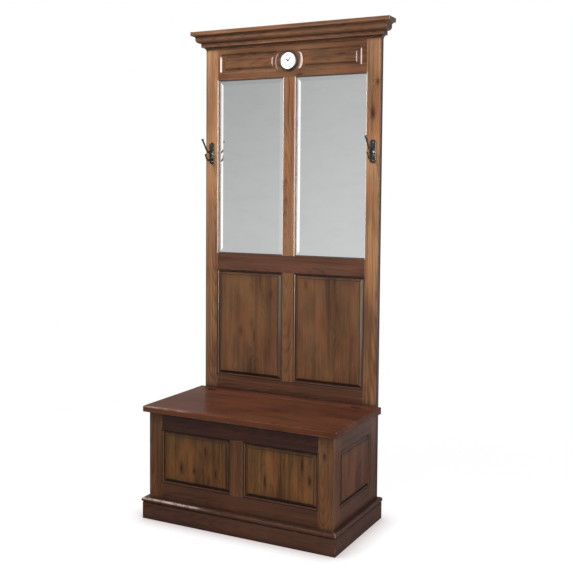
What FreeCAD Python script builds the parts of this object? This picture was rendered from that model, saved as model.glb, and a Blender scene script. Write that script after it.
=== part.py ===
import FreeCAD, Part
import math
import os

# Hall tree: a storage bench with a hinged lid, a tall back frame with two mirrors and two
# raised panels, a routed header with a fit-up clock, a stepped crown and two coat hooks.
# Millimetres, +Z up, front towards -Y. The origin is on the floor, in the middle of the
# overall box. Depths are measured forward from the wall plane, which touches the back.

os.makedirs("parts", exist_ok=True)
V = FreeCAD.Vector

# --- driving dimensions -------------------------------------------------------------------
BODY_HALF = 406.0           # half the width over the stiles
BENCH_DEPTH = 441.0         # wall plane to the face of the bench front
TOTAL_HEIGHT = 2006.0
BOARD = 22.0                # thickness of every frame member
STILE = 60.5                # face width of every stile
STILE_IN = BODY_HALF - STILE

# tall back frame, heights of the openings
STILE_TOP = 1989.0
MIRROR_TOP = 1798.5
MIRROR_BOTTOM = 1054.5
PANEL_TOP = 981.0
PANEL_BOTTOM = 521.0
BACK_RAIL_BOTTOM = 400.0
MULLION_HALF = 28.0

# bench box
CASE_TOP = 434.0
RAIL_TOP_EDGE = 367.0       # lower edge of the top rails
RAIL_BOTTOM_EDGE = 153.0    # upper edge of the bottom rails
RAIL_BASE = 60.0            # lower edge of the bottom rails
MUNTIN_HALF = 30.0
SIDE_STILE_REAR = 82.0      # depth at the front edge of a rear side stile
SIDE_STILE_FRONT = 379.0    # depth at the rear edge of a front side stile

# seat
SEAT_TOP = 460.0
SEAT_OVERHANG = 20.5
LID_UNDERSIDE = 435.5
HINGE_DEPTH = 80.0          # depth of the hinge axis
HINGE_HEIGHT = 461.5
HINGE_CENTRE_X = 337.5
SEAM_HALF = 0.6             # half the gap between the hinge rail and the lid

# plinth
PLINTH_THICK = 20.0
PLINTH_HEIGHT = 66.0
PLINTH_CAP_TOP = 85.0
PLINTH_CAP_REACH = 24.0

# crown
CROWN_REACH = 50.7
CROWN_MOULDING_BOTTOM = 1942.0
NECK_BOTTOM = 1930.5

# header and clock
CLOCK_X = -6.0
CLOCK_Z = 1865.0
GROOVE_DEPTH = 6.0
GROOVE_WIDTH = 24.0
GROOVE_RISE = 31.0          # groove centre line above and below the clock centre
GROOVE_END = 315.0          # groove centre line from the clock centre, sideways
GROOVE_ARC = 67.0           # radius of the concave groove round the clock
CLOCK_BORE = 36.0           # radius of the hole in the header

# hooks
HOOK_X = BODY_HALF - STILE / 2
HOOK_Z = 1486.0             # middle of the back plate

# details shared by several pieces
EASE = 2.0                  # radius on exposed corners
EDGE = 7.0                  # width of the moulded edge round a panel
QUIRK = 1.0                 # small step between the face and the moulded edge
GROOVE_FRONT = 8.0          # panel groove, measured in from the face
GROOVE_BACK = 14.0
PANEL_PLAY = 0.2
PANEL_SLOPE = 11.0          # width of the sloped margin of a raised panel

BACK_Y = (BENCH_DEPTH + PLINTH_CAP_REACH) / 2


# --- general helpers ----------------------------------------------------------------------
def y_at(depth):
    """The y of a plane at a depth forward of the wall."""
    return BACK_Y - depth


def slab(x0, x1, depth0, depth1, z0, z1):
    """A board between two x, two depths and two heights."""
    return Part.makeBox(x1 - x0, depth1 - depth0, z1 - z0, V(x0, y_at(depth1), z0))


def disc(x, z, radius, depth0, depth1):
    """A cylinder that runs forward from one depth to another."""
    return Part.makeCylinder(radius, depth1 - depth0, V(x, y_at(depth0), z), V(0, -1, 0))


def ease(shape, radius, wanted):
    """Round the edges whose middle passes the test."""
    return shape.makeFillet(radius, [e for e in shape.Edges if wanted(e.CenterOfMass)])


def joined(first, others):
    """One solid from a solid and the ones that touch it."""
    return first.fuse(list(others)).removeSplitter() if others else first


def mirrored(shape):
    """The same piece on the other side of the object."""
    return shape.mirror(V(0, 0, 0), V(1, 0, 0))


def save(node, *solids):
    """Write one node, as one solid or as a group of separate solids."""
    shape = solids[0] if len(solids) == 1 else Part.makeCompound(list(solids))
    shape.exportStep("parts/" + node + ".step")
    pieces = shape.Solids
    ok = shape.isValid() and all(piece.Volume > 0 for piece in pieces)
    print(f"{node:26s} {len(pieces):2d} solid(s) {shape.Volume / 1000:9.1f} cm3 {'ok' if ok else 'BAD'}")


def outline_face(steps, place):
    """A flat face from points (a, b) and arcs (middle point, end point), through place(a, b)."""
    here = place(*steps[0])
    start = here
    edges = []
    for step in steps[1:]:
        if isinstance(step[0], tuple):
            end = place(*step[1])
            edges.append(Part.Arc(here, place(*step[0]), end).toShape())
        else:
            end = place(*step)
            edges.append(Part.makeLine(here, end))
        here = end
    edges.append(Part.makeLine(here, start))
    return Part.Face(Part.Wire(edges))


# --- frame-and-panel work, made facing the front with its face at y = 0 --------------------
def moulded_edge(opening, turn):
    """One moulded edge of an opening, mitred at both ends: 0 bottom, 1 right, 2 top, 3 left."""
    u0, u1, z0, z1 = opening
    corner = [(u0, z0), (u1, z0), (u1, z1), (u0, z1)][turn]
    length = z1 - z0 if turn % 2 else u1 - u0
    radius = EDGE - QUIRK
    bend = radius * math.sqrt(0.5)
    section = outline_face(
        [(0, QUIRK),
         ((bend, QUIRK + radius - bend), (radius, EDGE)),
         (EDGE, EDGE), (EDGE, GROOVE_FRONT), (1, GROOVE_FRONT), (1, GROOVE_BACK),
         (EDGE, GROOVE_BACK), (EDGE, BOARD), (0, BOARD)],
        lambda inward, depth: V(0, depth, inward))
    bar = section.extrude(V(length, 0, 0))
    mitre = outline_face(
        [(0, 0), (length, 0), (length - EDGE, EDGE), (EDGE, EDGE)],
        lambda along, inward: V(along, 0, inward)).extrude(V(0, BOARD, 0))
    strip = bar.common(mitre)
    strip.rotate(V(0, 0, 0), V(0, -1, 0), 90 * turn)
    strip.translate(V(corner[0], 0, corner[1]))
    return strip


def member(u0, u1, z0, z1, edges=(), eased=None):
    """A frame member with the moulded edges that it carries, as (opening, turn) pairs."""
    board = Part.makeBox(u1 - u0, BOARD, z1 - z0, V(u0, 0, z0))
    if eased is not None:
        board = ease(board, EASE, lambda m: abs(m.x - eased) < 0.1 and m.y < 0.1)
    return joined(board, [moulded_edge(opening, turn) for opening, turn in edges])


def raised_panel(opening):
    """A panel with a tongue in the frame's groove, a sloped margin and a raised flat field."""
    u0, u1, z0, z1 = opening
    tongue = EDGE - 5.5
    front = GROOVE_FRONT + PANEL_PLAY
    back = GROOVE_BACK - PANEL_PLAY
    step = 3.4
    face = 1.8
    inner = EDGE + PANEL_SLOPE
    plate = Part.makeBox(u1 - u0 - 2 * tongue, back - front, z1 - z0 - 2 * tongue,
                         V(u0 + tongue, front, z0 + tongue))
    margin = Part.makeWedge(u0 + inner, step, z0 + inner, z0 + EDGE, u0 + EDGE,
                            u1 - inner, front, z1 - inner, z1 - EDGE, u1 - EDGE)
    field = Part.makeBox(u1 - u0 - 2 * inner, step - face, z1 - z0 - 2 * inner,
                         V(u0 + inner, face, z0 + inner))
    return joined(plate, [margin, field])


def facing_front(shape, depth):
    """Stand a frame piece with its face at a depth."""
    placed = shape.copy()
    placed.translate(V(0, y_at(depth), 0))
    return placed


def facing_right(shape):
    """Turn a frame piece to face right, flush with the outside of the bench."""
    placed = shape.copy()
    placed.rotate(V(0, 0, 0), V(0, 0, 1), 90)
    placed.translate(V(BODY_HALF, 0, 0))
    return placed


# --- tall back frame -----------------------------------------------------------------------
LEFT_BACK = (-STILE_IN, -MULLION_HALF, PANEL_BOTTOM, PANEL_TOP)
RIGHT_BACK = (MULLION_HALF, STILE_IN, PANEL_BOTTOM, PANEL_TOP)
LEFT_GLASS = (-STILE_IN, -MULLION_HALF, MIRROR_BOTTOM, MIRROR_TOP)
RIGHT_GLASS = (MULLION_HALF, STILE_IN, MIRROR_BOTTOM, MIRROR_TOP)
REBATE = 7.0
REBATE_DEPTH = 12.0
GLASS_PLAY = 0.5


def grown(opening, margin, depth0, depth1):
    """A box over an opening, larger than it all round."""
    u0, u1, z0, z1 = opening
    return slab(u0 - margin, u1 + margin, depth0, depth1, z0 - margin, z1 + margin)


def rebated(shape):
    """Cut the mirror rebates into the back of a frame member."""
    for opening in (LEFT_GLASS, RIGHT_GLASS):
        shape = shape.cut(grown(opening, REBATE, -1, REBATE_DEPTH))
    return shape


def groove_cutters(side):
    """Round-nosed cutter paths of the routed field on one side of the clock."""
    radius = (GROOVE_WIDTH ** 2 / 4 + GROOVE_DEPTH ** 2) / (2 * GROOVE_DEPTH)
    depth = BOARD + radius - GROOVE_DEPTH
    y = y_at(depth)
    end_x = CLOCK_X + side * GROOVE_END
    arc_x = CLOCK_X + side * math.sqrt(GROOVE_ARC ** 2 - GROOVE_RISE ** 2)
    low = CLOCK_Z - GROOVE_RISE
    high = CLOCK_Z + GROOVE_RISE
    length = abs(end_x - arc_x)
    cutters = [Part.makeCylinder(radius, high - low, V(end_x, y, low), V(0, 0, 1))]
    for z in (low, high):
        cutters.append(Part.makeCylinder(radius, length, V(min(end_x, arc_x), y, z), V(1, 0, 0)))
        cutters.append(Part.makeSphere(radius, V(end_x, y, z)))
        cutters.append(Part.makeSphere(radius, V(arc_x, y, z)))
    sweep = math.degrees(math.asin(GROOVE_RISE / GROOVE_ARC))
    ring = Part.makeTorus(GROOVE_ARC, radius, V(CLOCK_X, y, CLOCK_Z), V(0, 1, 0))
    reach = GROOVE_ARC + radius + 5
    wedge_half = reach * math.tan(math.radians(sweep))
    wedge = outline_face(
        [(CLOCK_X, CLOCK_Z), (CLOCK_X + side * reach, CLOCK_Z - wedge_half),
         (CLOCK_X + side * reach, CLOCK_Z + wedge_half)],
        lambda x, z: V(x, y - radius - 1, z)).extrude(V(0, 2 * radius + 2, 0))
    cutters.append(ring.common(wedge))
    return cutters


def make_header():
    """Header rail with a routed field each side of the clock and a hole for the clock."""
    rail = facing_front(member(-STILE_IN, STILE_IN, MIRROR_TOP, STILE_TOP), BOARD)
    rail = ease(rail, EASE, lambda m: abs(m.z - MIRROR_TOP) < 0.1 and abs(m.y - y_at(BOARD)) < 0.1)
    rail = rebated(rail)
    rail = rail.cut(disc(CLOCK_X, CLOCK_Z, CLOCK_BORE, -1, BOARD + 1))
    for side in (-1, 1):
        for cutter in groove_cutters(side):
            rail = rail.cut(cutter)
    return rail


def make_tall_frame():
    left = rebated(facing_front(
        member(-BODY_HALF, -STILE_IN, 0, STILE_TOP, [(LEFT_BACK, 3)], -BODY_HALF), BOARD))
    right = rebated(facing_front(
        member(STILE_IN, BODY_HALF, 0, STILE_TOP, [(RIGHT_BACK, 1)], BODY_HALF), BOARD))
    for sign, stile, node in ((-1, left, "left_stile"), (1, right, "right_stile")):
        for screw in hook_screws(sign * HOOK_X):
            stile = stile.cut(screw)
        save(node, stile)
    save("header_rail", make_header())
    save("mirror_mullion", rebated(facing_front(
        member(-MULLION_HALF, MULLION_HALF, MIRROR_BOTTOM, MIRROR_TOP), BOARD)))
    save("mid_rail", rebated(facing_front(
        member(-STILE_IN, STILE_IN, PANEL_TOP, MIRROR_BOTTOM,
               [(LEFT_BACK, 2), (RIGHT_BACK, 2)]), BOARD)))
    save("panel_mullion", facing_front(
        member(-MULLION_HALF, MULLION_HALF, PANEL_BOTTOM, PANEL_TOP,
               [(LEFT_BACK, 1), (RIGHT_BACK, 3)]), BOARD))
    save("back_bottom_rail", facing_front(
        member(-STILE_IN, STILE_IN, BACK_RAIL_BOTTOM, PANEL_BOTTOM,
               [(LEFT_BACK, 0), (RIGHT_BACK, 0)]), BOARD))
    save("left_back_panel", facing_front(raised_panel(LEFT_BACK), BOARD))
    save("right_back_panel", facing_front(raised_panel(RIGHT_BACK), BOARD))


# --- mirrors -------------------------------------------------------------------------------
MIRROR_FRONT = 11.7         # depth of the glass face
MIRROR_THICK = 4.2
MIRROR_BEVEL = 27.0         # width of the bevel, of which the rebate hides 7
MIRROR_BEVEL_DROP = 2.6
BACKING_THICK = 3.0


def make_mirror(opening):
    """Plate glass with a wide bevel on its front edges."""
    u0, u1, z0, z1 = opening
    out = REBATE - GLASS_PLAY
    back = y_at(MIRROR_FRONT - MIRROR_THICK)
    shoulder = y_at(MIRROR_FRONT - MIRROR_BEVEL_DROP)
    face = y_at(MIRROR_FRONT)
    inner = MIRROR_BEVEL - out
    plate = Part.makeBox(u1 - u0 + 2 * out, back - shoulder, z1 - z0 + 2 * out,
                         V(u0 - out, shoulder, z0 - out))
    bevel = Part.makeWedge(u0 + inner, face, z0 + inner, z0 - out, u0 - out,
                           u1 - inner, shoulder, z1 - inner, z1 + out, u1 + out)
    return joined(plate, [bevel])


def mirror_stops(opening):
    """Four thin strips that hold the backing board in the rebate."""
    front = MIRROR_FRONT - MIRROR_THICK - BACKING_THICK - 0.4
    outer = grown(opening, REBATE - GLASS_PLAY, 0.3, front)
    ring = outer.cut(grown(opening, 0, -1, BOARD))
    u0, u1, z0, z1 = opening
    level = slab(u0 - BODY_HALF, u1 + BODY_HALF, 0, BOARD, z0, z1)
    uprights = ring.common(level).Solids
    levels = ring.cut(level).Solids
    return uprights + levels


def make_mirrors():
    save("left_mirror", make_mirror(LEFT_GLASS))
    save("right_mirror", make_mirror(RIGHT_GLASS))
    front = MIRROR_FRONT - MIRROR_THICK - 0.2
    backings = [grown(opening, REBATE - GLASS_PLAY, front - BACKING_THICK, front)
                for opening in (LEFT_GLASS, RIGHT_GLASS)]
    save("mirror_backings", *backings)
    save("mirror_stops", *mirror_stops(LEFT_GLASS), *mirror_stops(RIGHT_GLASS))


# --- mouldings that run round the front and both sides --------------------------------------
def front_run(steps, front, reach):
    """A moulding along the front, mitred at both ends; steps are (overhang, height)."""
    half = BODY_HALF + reach
    section = outline_face(steps, lambda out, z: V(-half, y_at(front + out), z))
    bar = section.extrude(V(2 * half, 0, 0))
    plan = outline_face(
        [(-half, front + reach), (half, front + reach), (BODY_HALF, front), (-BODY_HALF, front)],
        lambda x, depth: V(x, y_at(depth), -1)).extrude(V(0, 0, TOTAL_HEIGHT + 2))
    return bar.common(plan)


def right_run(steps, front, reach):
    """The matching return along the right side, from the wall to the mitre."""
    section = outline_face(steps, lambda out, z: V(BODY_HALF + out, y_at(0), z))
    bar = section.extrude(V(0, -(front + reach), 0))
    plan = outline_face(
        [(BODY_HALF, 0), (BODY_HALF + reach, 0), (BODY_HALF + reach, front + reach),
         (BODY_HALF, front)],
        lambda x, depth: V(x, y_at(depth), -1)).extrude(V(0, 0, TOTAL_HEIGHT + 2))
    return bar.common(plan)


def make_crown():
    cap = slab(-BODY_HALF - CROWN_REACH, BODY_HALF + CROWN_REACH, 0, BOARD + CROWN_REACH,
               STILE_TOP, TOTAL_HEIGHT)
    side = BODY_HALF + CROWN_REACH
    cap_front = y_at(BOARD + CROWN_REACH)
    cap = ease(cap, EASE, lambda m: abs(m.y - cap_front) < 0.1 or
               (abs(abs(m.x) - side) < 0.1 and abs(m.y - BACK_Y) > 0.1))
    save("crown_cap", cap)

    shelf = 34.7
    frieze = 16.3
    moulding = [(0, CROWN_MOULDING_BOTTOM), (frieze, CROWN_MOULDING_BOTTOM), (frieze, 1959),
                ((29.6, 1962.6), (shelf, 1971)), (shelf, 1982),
                ((38.8, 1986.4), (46, STILE_TOP)), (0, STILE_TOP)]
    save("crown_front", front_run(moulding, BOARD, CROWN_REACH))
    crown_return = right_run(moulding, BOARD, CROWN_REACH)
    save("crown_returns", mirrored(crown_return), crown_return)

    neck = [(0, NECK_BOTTOM), (1.5, NECK_BOTTOM), ((3.4, 1937.0), (8.4, 1940.5)),
            (8.4, CROWN_MOULDING_BOTTOM), (0, CROWN_MOULDING_BOTTOM)]
    neck_return = right_run(neck, BOARD, CROWN_REACH)
    save("neck_moulding", front_run(neck, BOARD, CROWN_REACH), mirrored(neck_return), neck_return)


# --- coat hooks ----------------------------------------------------------------------------
PLATE_THICK = 4.0
SCREW_OFFSET = 36.0         # hook screws above and below the middle of the plate
UPPER_ARM = [(2, 8, 5.4), (14, 4, 4.8), (30, 5, 4.3), (45, 15, 4.0), (57, 32, 3.8), (70, 46, 3.8),
             (76, 56, 3.9)]
LOWER_ARM = [(2, -16, 5.2), (14, -26, 4.7), (28, -31, 4.2), (40, -28, 3.9), (47, -18, 3.8),
             (50, -8, 3.8)]
TIP_RADIUS = 6.0


def hook_arm(x, route):
    """A tapering round arm with a ball tip; route points are (out, up, radius)."""
    path = Part.BSplineCurve()
    path.interpolate([V(x, y_at(BOARD + out), HOOK_Z + up) for out, up, _ in route])
    first = path.FirstParameter
    last = path.LastParameter
    rings = []
    for index, (_, _, radius) in enumerate(route):
        at = first if index == 0 else path.parameter(
            V(x, y_at(BOARD + route[index][0]), HOOK_Z + route[index][1]))
        rings.append(Part.Wire(Part.makeCircle(radius, path.value(at), path.tangent(at)[0])))
    arm = Part.makeLoft(rings, True)
    return arm.fuse(Part.makeSphere(TIP_RADIUS, path.value(last)))


def hook_screws(x):
    """Two round-headed screws through the hook's back plate."""
    screws = []
    for z in (HOOK_Z - SCREW_OFFSET, HOOK_Z + SCREW_OFFSET):
        shank = disc(x, z, 1.8, BOARD - 16, BOARD + PLATE_THICK)
        head = Part.makeSphere(4.6, V(x, y_at(BOARD + PLATE_THICK - 2.4), z)).common(
            disc(x, z, 6, BOARD + PLATE_THICK, BOARD + PLATE_THICK + 5))
        slot = slab(x - 6, x + 6, BOARD + PLATE_THICK + 1.3, BOARD + 12, z - 0.4, z + 0.4)
        screws.append(shank.fuse(head).removeSplitter().cut(slot))
    return screws


def make_hook(x):
    """Cast double hook: a rounded back plate, a long upper arm and a short lower arm."""
    half_high = 46.0
    half_wide = 13.0
    straight = half_high - half_wide
    plate = outline_face(
        [(-half_wide, -straight), ((0, -half_high), (half_wide, -straight)),
         (half_wide, straight), ((0, half_high), (-half_wide, straight))],
        lambda across, up: V(x + across, y_at(BOARD), HOOK_Z + up)).extrude(V(0, -PLATE_THICK, 0))
    front = y_at(BOARD + PLATE_THICK)
    plate = ease(plate, 1.5, lambda m: abs(m.y - front) < 0.1)
    boss = Part.makeSphere(11, V(x, y_at(BOARD + 1), HOOK_Z - 3)).common(
        slab(x - 13, x + 13, BOARD, BOARD + 20, HOOK_Z - 30, HOOK_Z + 30))
    hook = joined(plate, [boss])
    wall_side = slab(x - 30, x + 30, 0, BOARD, HOOK_Z - 80, HOOK_Z + 80)
    for route in (UPPER_ARM, LOWER_ARM):
        hook = hook.fuse(hook_arm(x, route).cut(wall_side))
    for screw in hook_screws(x):
        hook = hook.cut(screw)
    return hook


def make_hooks():
    save("left_hook", make_hook(-HOOK_X))
    save("right_hook", make_hook(HOOK_X))
    save("hook_screws", *hook_screws(-HOOK_X), *hook_screws(HOOK_X))


# --- fit-up clock ----------------------------------------------------------------------------
HOUSING_RADIUS = 34.5
DIAL_DEPTH = 25.0           # back of the dial
HOUR_HAND_DEPTH = 27.0
MINUTE_HAND_DEPTH = 28.2
HAND_THICK = 0.5
SPINDLE = 1.4
KNOB_X = CLOCK_X - 13.0
KNOB_Z = CLOCK_Z
CELL_X = CLOCK_X + 14.0
CELL_Z = CLOCK_Z - 8.0
CELL_RADIUS = 5.8
DOOR_RADIUS = 8.0


def ring(outer, inner, depth0, depth1):
    """A ring round the clock's axis."""
    return disc(CLOCK_X, CLOCK_Z, outer, depth0, depth1).cut(
        disc(CLOCK_X, CLOCK_Z, inner, depth0 - 1, depth1 + 1))


def turned(steps):
    """A shape turned about the clock's axis; steps are (radius, depth)."""
    section = outline_face(steps, lambda radius, depth: V(CLOCK_X + radius, y_at(depth), CLOCK_Z))
    return section.revolve(V(CLOCK_X, 0, CLOCK_Z), V(0, 1, 0), 360)


def hand(reach, tail, width, hub, depth, bore, angle):
    """A tapered clock hand that points up and is then turned clockwise by the angle."""
    blade = outline_face(
        [(-width / 2, 0), (-width * 0.9, reach * 0.45), (0, reach), (width * 0.9, reach * 0.45),
         (width / 2, 0), (width * 0.4, -tail), (-width * 0.4, -tail)],
        lambda across, up: V(CLOCK_X + across, y_at(depth), CLOCK_Z + up)
    ).extrude(V(0, -HAND_THICK, 0))
    boss = disc(CLOCK_X, CLOCK_Z, hub, depth, depth + HAND_THICK)
    shape = joined(blade, [boss]).cut(disc(CLOCK_X, CLOCK_Z, bore, depth - 1, depth + 2))
    shape.rotate(V(CLOCK_X, 0, CLOCK_Z), V(0, 1, 0), angle)
    return shape


def make_lens():
    """A shallow domed glass with a flat rim that the bezel holds."""
    top = 31.4
    thick = 1.2
    dome = 244.0
    rim_back = 27.65
    centre = V(CLOCK_X, y_at(top - dome), CLOCK_Z)
    outside = Part.makeSphere(dome, centre).common(
        disc(CLOCK_X, CLOCK_Z, 36.9, rim_back, top + 1))
    inside = Part.makeSphere(dome - thick, centre).common(
        disc(CLOCK_X, CLOCK_Z, 35.0, rim_back - 1, top + 1))
    return outside.cut(inside)


def make_clock():
    back = 2.0
    wall = 1.5
    cup = turned([(0, back), (HOUSING_RADIUS, back), (HOUSING_RADIUS, BOARD),
                  (38, BOARD), (38, BOARD + 2), (HOUSING_RADIUS - wall, BOARD + 2),
                  (HOUSING_RADIUS - wall, back + wall), (0, back + wall)])
    cup = cup.cut(disc(KNOB_X, KNOB_Z, 2.1, 0, back + wall + 1))
    cup = cup.cut(disc(CELL_X, CELL_Z, DOOR_RADIUS + 0.1, 0, back + wall + 1))
    save("clock_housing", cup)
    save("clock_gasket", ring(CLOCK_BORE - 0.05, HOUSING_RADIUS, 8, 18))

    movement = slab(CLOCK_X - 24, CLOCK_X + 24, back + wall, 20, CLOCK_Z - 20, CLOCK_Z + 20)
    movement = movement.fuse(disc(CLOCK_X, CLOCK_Z, 4, 20, DIAL_DEPTH + 1))
    movement = movement.fuse(disc(CLOCK_X, CLOCK_Z, SPINDLE, DIAL_DEPTH, 30)).removeSplitter()
    movement = movement.cut(disc(CELL_X, CELL_Z, CELL_RADIUS + 0.2, 0, 9.5))
    movement = movement.cut(disc(KNOB_X, KNOB_Z, 2.1, 0, 9))
    save("clock_movement", movement)
    save("clock_battery", disc(CELL_X, CELL_Z, CELL_RADIUS, back + wall + 0.2, 9.1))

    door = disc(CELL_X, CELL_Z, DOOR_RADIUS, back, back + wall)
    coin_slot = slab(CELL_X - 5, CELL_X + 5, back - 1, back + 0.8, CELL_Z - 0.8, CELL_Z + 0.8)
    save("battery_door", door.cut(coin_slot))

    knob = disc(KNOB_X, KNOB_Z, 5.0, 0.3, 1.7).fuse(disc(KNOB_X, KNOB_Z, 2.0, 1.7, 8.5))
    knob = knob.removeSplitter()
    for step in range(8):
        angle = math.radians(45 * step)
        knob = knob.cut(disc(KNOB_X + 5.3 * math.cos(angle), KNOB_Z + 5.3 * math.sin(angle),
                             0.9, 0, 1.7))
    save("setting_knob", knob)

    save("clock_dial", ring(37.0, 4.1, DIAL_DEPTH, DIAL_DEPTH + 0.6))
    save("clock_bezel", turned(
        [(38.05, BOARD), (40.2, BOARD), ((41.0, 25.2), (39.9, 28.6)), ((38.2, 30.4), (36.2, 30.2)),
         (35.6, 29.4), (37.2, 28.9), (37.2, BOARD + 2.1), (38.05, BOARD + 2.1)]))
    save("clock_lens", make_lens())
    save("hour_hand", hand(19, 5, 2.6, 2.8, HOUR_HAND_DEPTH, SPINDLE + 0.05, 305))
    save("minute_hand", hand(28, 7, 1.9, 2.3, MINUTE_HAND_DEPTH, SPINDLE + 0.05, 50))


# --- bench box -------------------------------------------------------------------------------
LEFT_FRONT = (-STILE_IN, -MUNTIN_HALF, RAIL_BOTTOM_EDGE, RAIL_TOP_EDGE)
RIGHT_FRONT = (MUNTIN_HALF, STILE_IN, RAIL_BOTTOM_EDGE, RAIL_TOP_EDGE)
# a side opening runs along y, from the front to the wall
SIDE_OPENING = (y_at(SIDE_STILE_FRONT), y_at(SIDE_STILE_REAR), RAIL_BOTTOM_EDGE, RAIL_TOP_EDGE)


def make_bench_front():
    pieces = {
        "front_left_stile": member(-BODY_HALF, -STILE_IN, 0, CASE_TOP, [(LEFT_FRONT, 3)],
                                   -BODY_HALF),
        "front_right_stile": member(STILE_IN, BODY_HALF, 0, CASE_TOP, [(RIGHT_FRONT, 1)],
                                    BODY_HALF),
        "front_top_rail": member(-STILE_IN, STILE_IN, RAIL_TOP_EDGE, CASE_TOP,
                                 [(LEFT_FRONT, 2), (RIGHT_FRONT, 2)]),
        "front_bottom_rail": member(-STILE_IN, STILE_IN, RAIL_BASE, RAIL_BOTTOM_EDGE,
                                    [(LEFT_FRONT, 0), (RIGHT_FRONT, 0)]),
        "front_muntin": member(-MUNTIN_HALF, MUNTIN_HALF, RAIL_BOTTOM_EDGE, RAIL_TOP_EDGE,
                               [(LEFT_FRONT, 1), (RIGHT_FRONT, 3)]),
        "front_left_panel": raised_panel(LEFT_FRONT),
        "front_right_panel": raised_panel(RIGHT_FRONT),
    }
    for node, shape in pieces.items():
        save(node, facing_front(shape, BENCH_DEPTH))


def make_bench_sides():
    front_end = y_at(BENCH_DEPTH - BOARD)
    rear_end = y_at(BOARD)
    near, far = SIDE_OPENING[:2]
    stiles = [facing_right(member(front_end, near, 0, CASE_TOP, [(SIDE_OPENING, 3)])),
              facing_right(member(far, rear_end, 0, CASE_TOP, [(SIDE_OPENING, 1)]))]
    rails = [facing_right(member(near, far, RAIL_TOP_EDGE, CASE_TOP, [(SIDE_OPENING, 2)])),
             facing_right(member(near, far, RAIL_BASE, RAIL_BOTTOM_EDGE, [(SIDE_OPENING, 0)]))]
    panel = facing_right(raised_panel(SIDE_OPENING))
    save("right_side_stiles", *stiles)
    save("right_side_rails", *rails)
    save("right_side_panel", panel)
    save("left_side_stiles", *[mirrored(s) for s in stiles])
    save("left_side_rails", *[mirrored(s) for s in rails])
    save("left_side_panel", mirrored(panel))


def make_bench_inside():
    inside = BODY_HALF - BOARD
    floor = 85.0
    save("rear_base_rail", slab(-STILE_IN, STILE_IN, 0, BOARD, 0, RAIL_BASE))
    save("bench_back_panel", slab(-STILE_IN, STILE_IN, 8, 14, RAIL_BASE, BACK_RAIL_BOTTOM))
    save("bottom_board", slab(-inside, inside, BOARD, BENCH_DEPTH - BOARD, floor, floor + 12))
    cleat = slab(inside - 20, inside, BOARD + 10, BENCH_DEPTH - BOARD - 10, floor - 20, floor)
    save("bottom_cleats", mirrored(cleat), cleat)


# --- seat: fixed hinge rail, lid and hinges --------------------------------------------------
LEAF_HALF = 19.5
LEAF_THICK = 1.5
LEAF_BOTTOM = 439.0
KNUCKLE_RADIUS = 3.2
PIN_RADIUS = 1.5
KNUCKLE_GAP = 0.3


def axis_bar(x0, x1, radius):
    """A cylinder on the hinge axis."""
    return Part.makeCylinder(radius, x1 - x0, V(x0, y_at(HINGE_DEPTH), HINGE_HEIGHT), V(1, 0, 0))


def leaf(centre, side, knuckles, bore):
    """A hinge leaf behind (side -1) or in front of (side 1) the axis, with its knuckles."""
    near = HINGE_DEPTH + side * SEAM_HALF
    far = near + side * LEAF_THICK
    plate = slab(centre - LEAF_HALF, centre + LEAF_HALF, min(near, far), max(near, far),
                 LEAF_BOTTOM, HINGE_HEIGHT - 1)
    for x0, x1 in knuckles:
        rolled = axis_bar(centre + x0, centre + x1, KNUCKLE_RADIUS)
        neck = slab(centre + x0, centre + x1, min(near, far), max(near, far),
                    HINGE_HEIGHT - 1, HINGE_HEIGHT)
        plate = plate.fuse([rolled, neck])
    plate = plate.removeSplitter()
    third = 2 * LEAF_HALF / 3
    for index in range(3):
        x0 = centre - LEAF_HALF + index * third
        if not any(abs(x0 - centre - k0) < 1 for k0, _ in knuckles):
            plate = plate.cut(axis_bar(x0 - KNUCKLE_GAP, x0 + third + KNUCKLE_GAP,
                                       KNUCKLE_RADIUS + KNUCKLE_GAP))
    plate = plate.cut(axis_bar(centre - LEAF_HALF - 1, centre + LEAF_HALF + 1, bore))
    for screw in leaf_screws(centre, side):
        plate = plate.cut(screw)
    return plate


def leaf_screws(centre, side):
    """Three countersunk screws that hold one leaf."""
    face = HINGE_DEPTH + side * SEAM_HALF
    direction = V(0, -side, 0)
    screws = []
    for offset in (-13, 0, 13):
        start = V(centre + offset, y_at(face), 445 if offset else 452)
        head = Part.makeCone(3.0, 1.6, LEAF_THICK, start, direction)
        screws.append(head.fuse(Part.makeCylinder(1.6, 14, start, direction)).removeSplitter())
    return screws


def hinge_pocket(centre, side):
    """Room for a leaf and for the knuckles, cut into the wood on one side of the seam."""
    near = HINGE_DEPTH
    far = near + side * (SEAM_HALF + LEAF_THICK)
    pocket = slab(centre - LEAF_HALF, centre + LEAF_HALF, min(near, far), max(near, far),
                  LEAF_BOTTOM, SEAT_TOP + 1)
    barrel = axis_bar(centre - LEAF_HALF - 0.5, centre + LEAF_HALF + 0.5, KNUCKLE_RADIUS + 0.5)
    return [pocket, barrel] + leaf_screws(centre, side)


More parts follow.
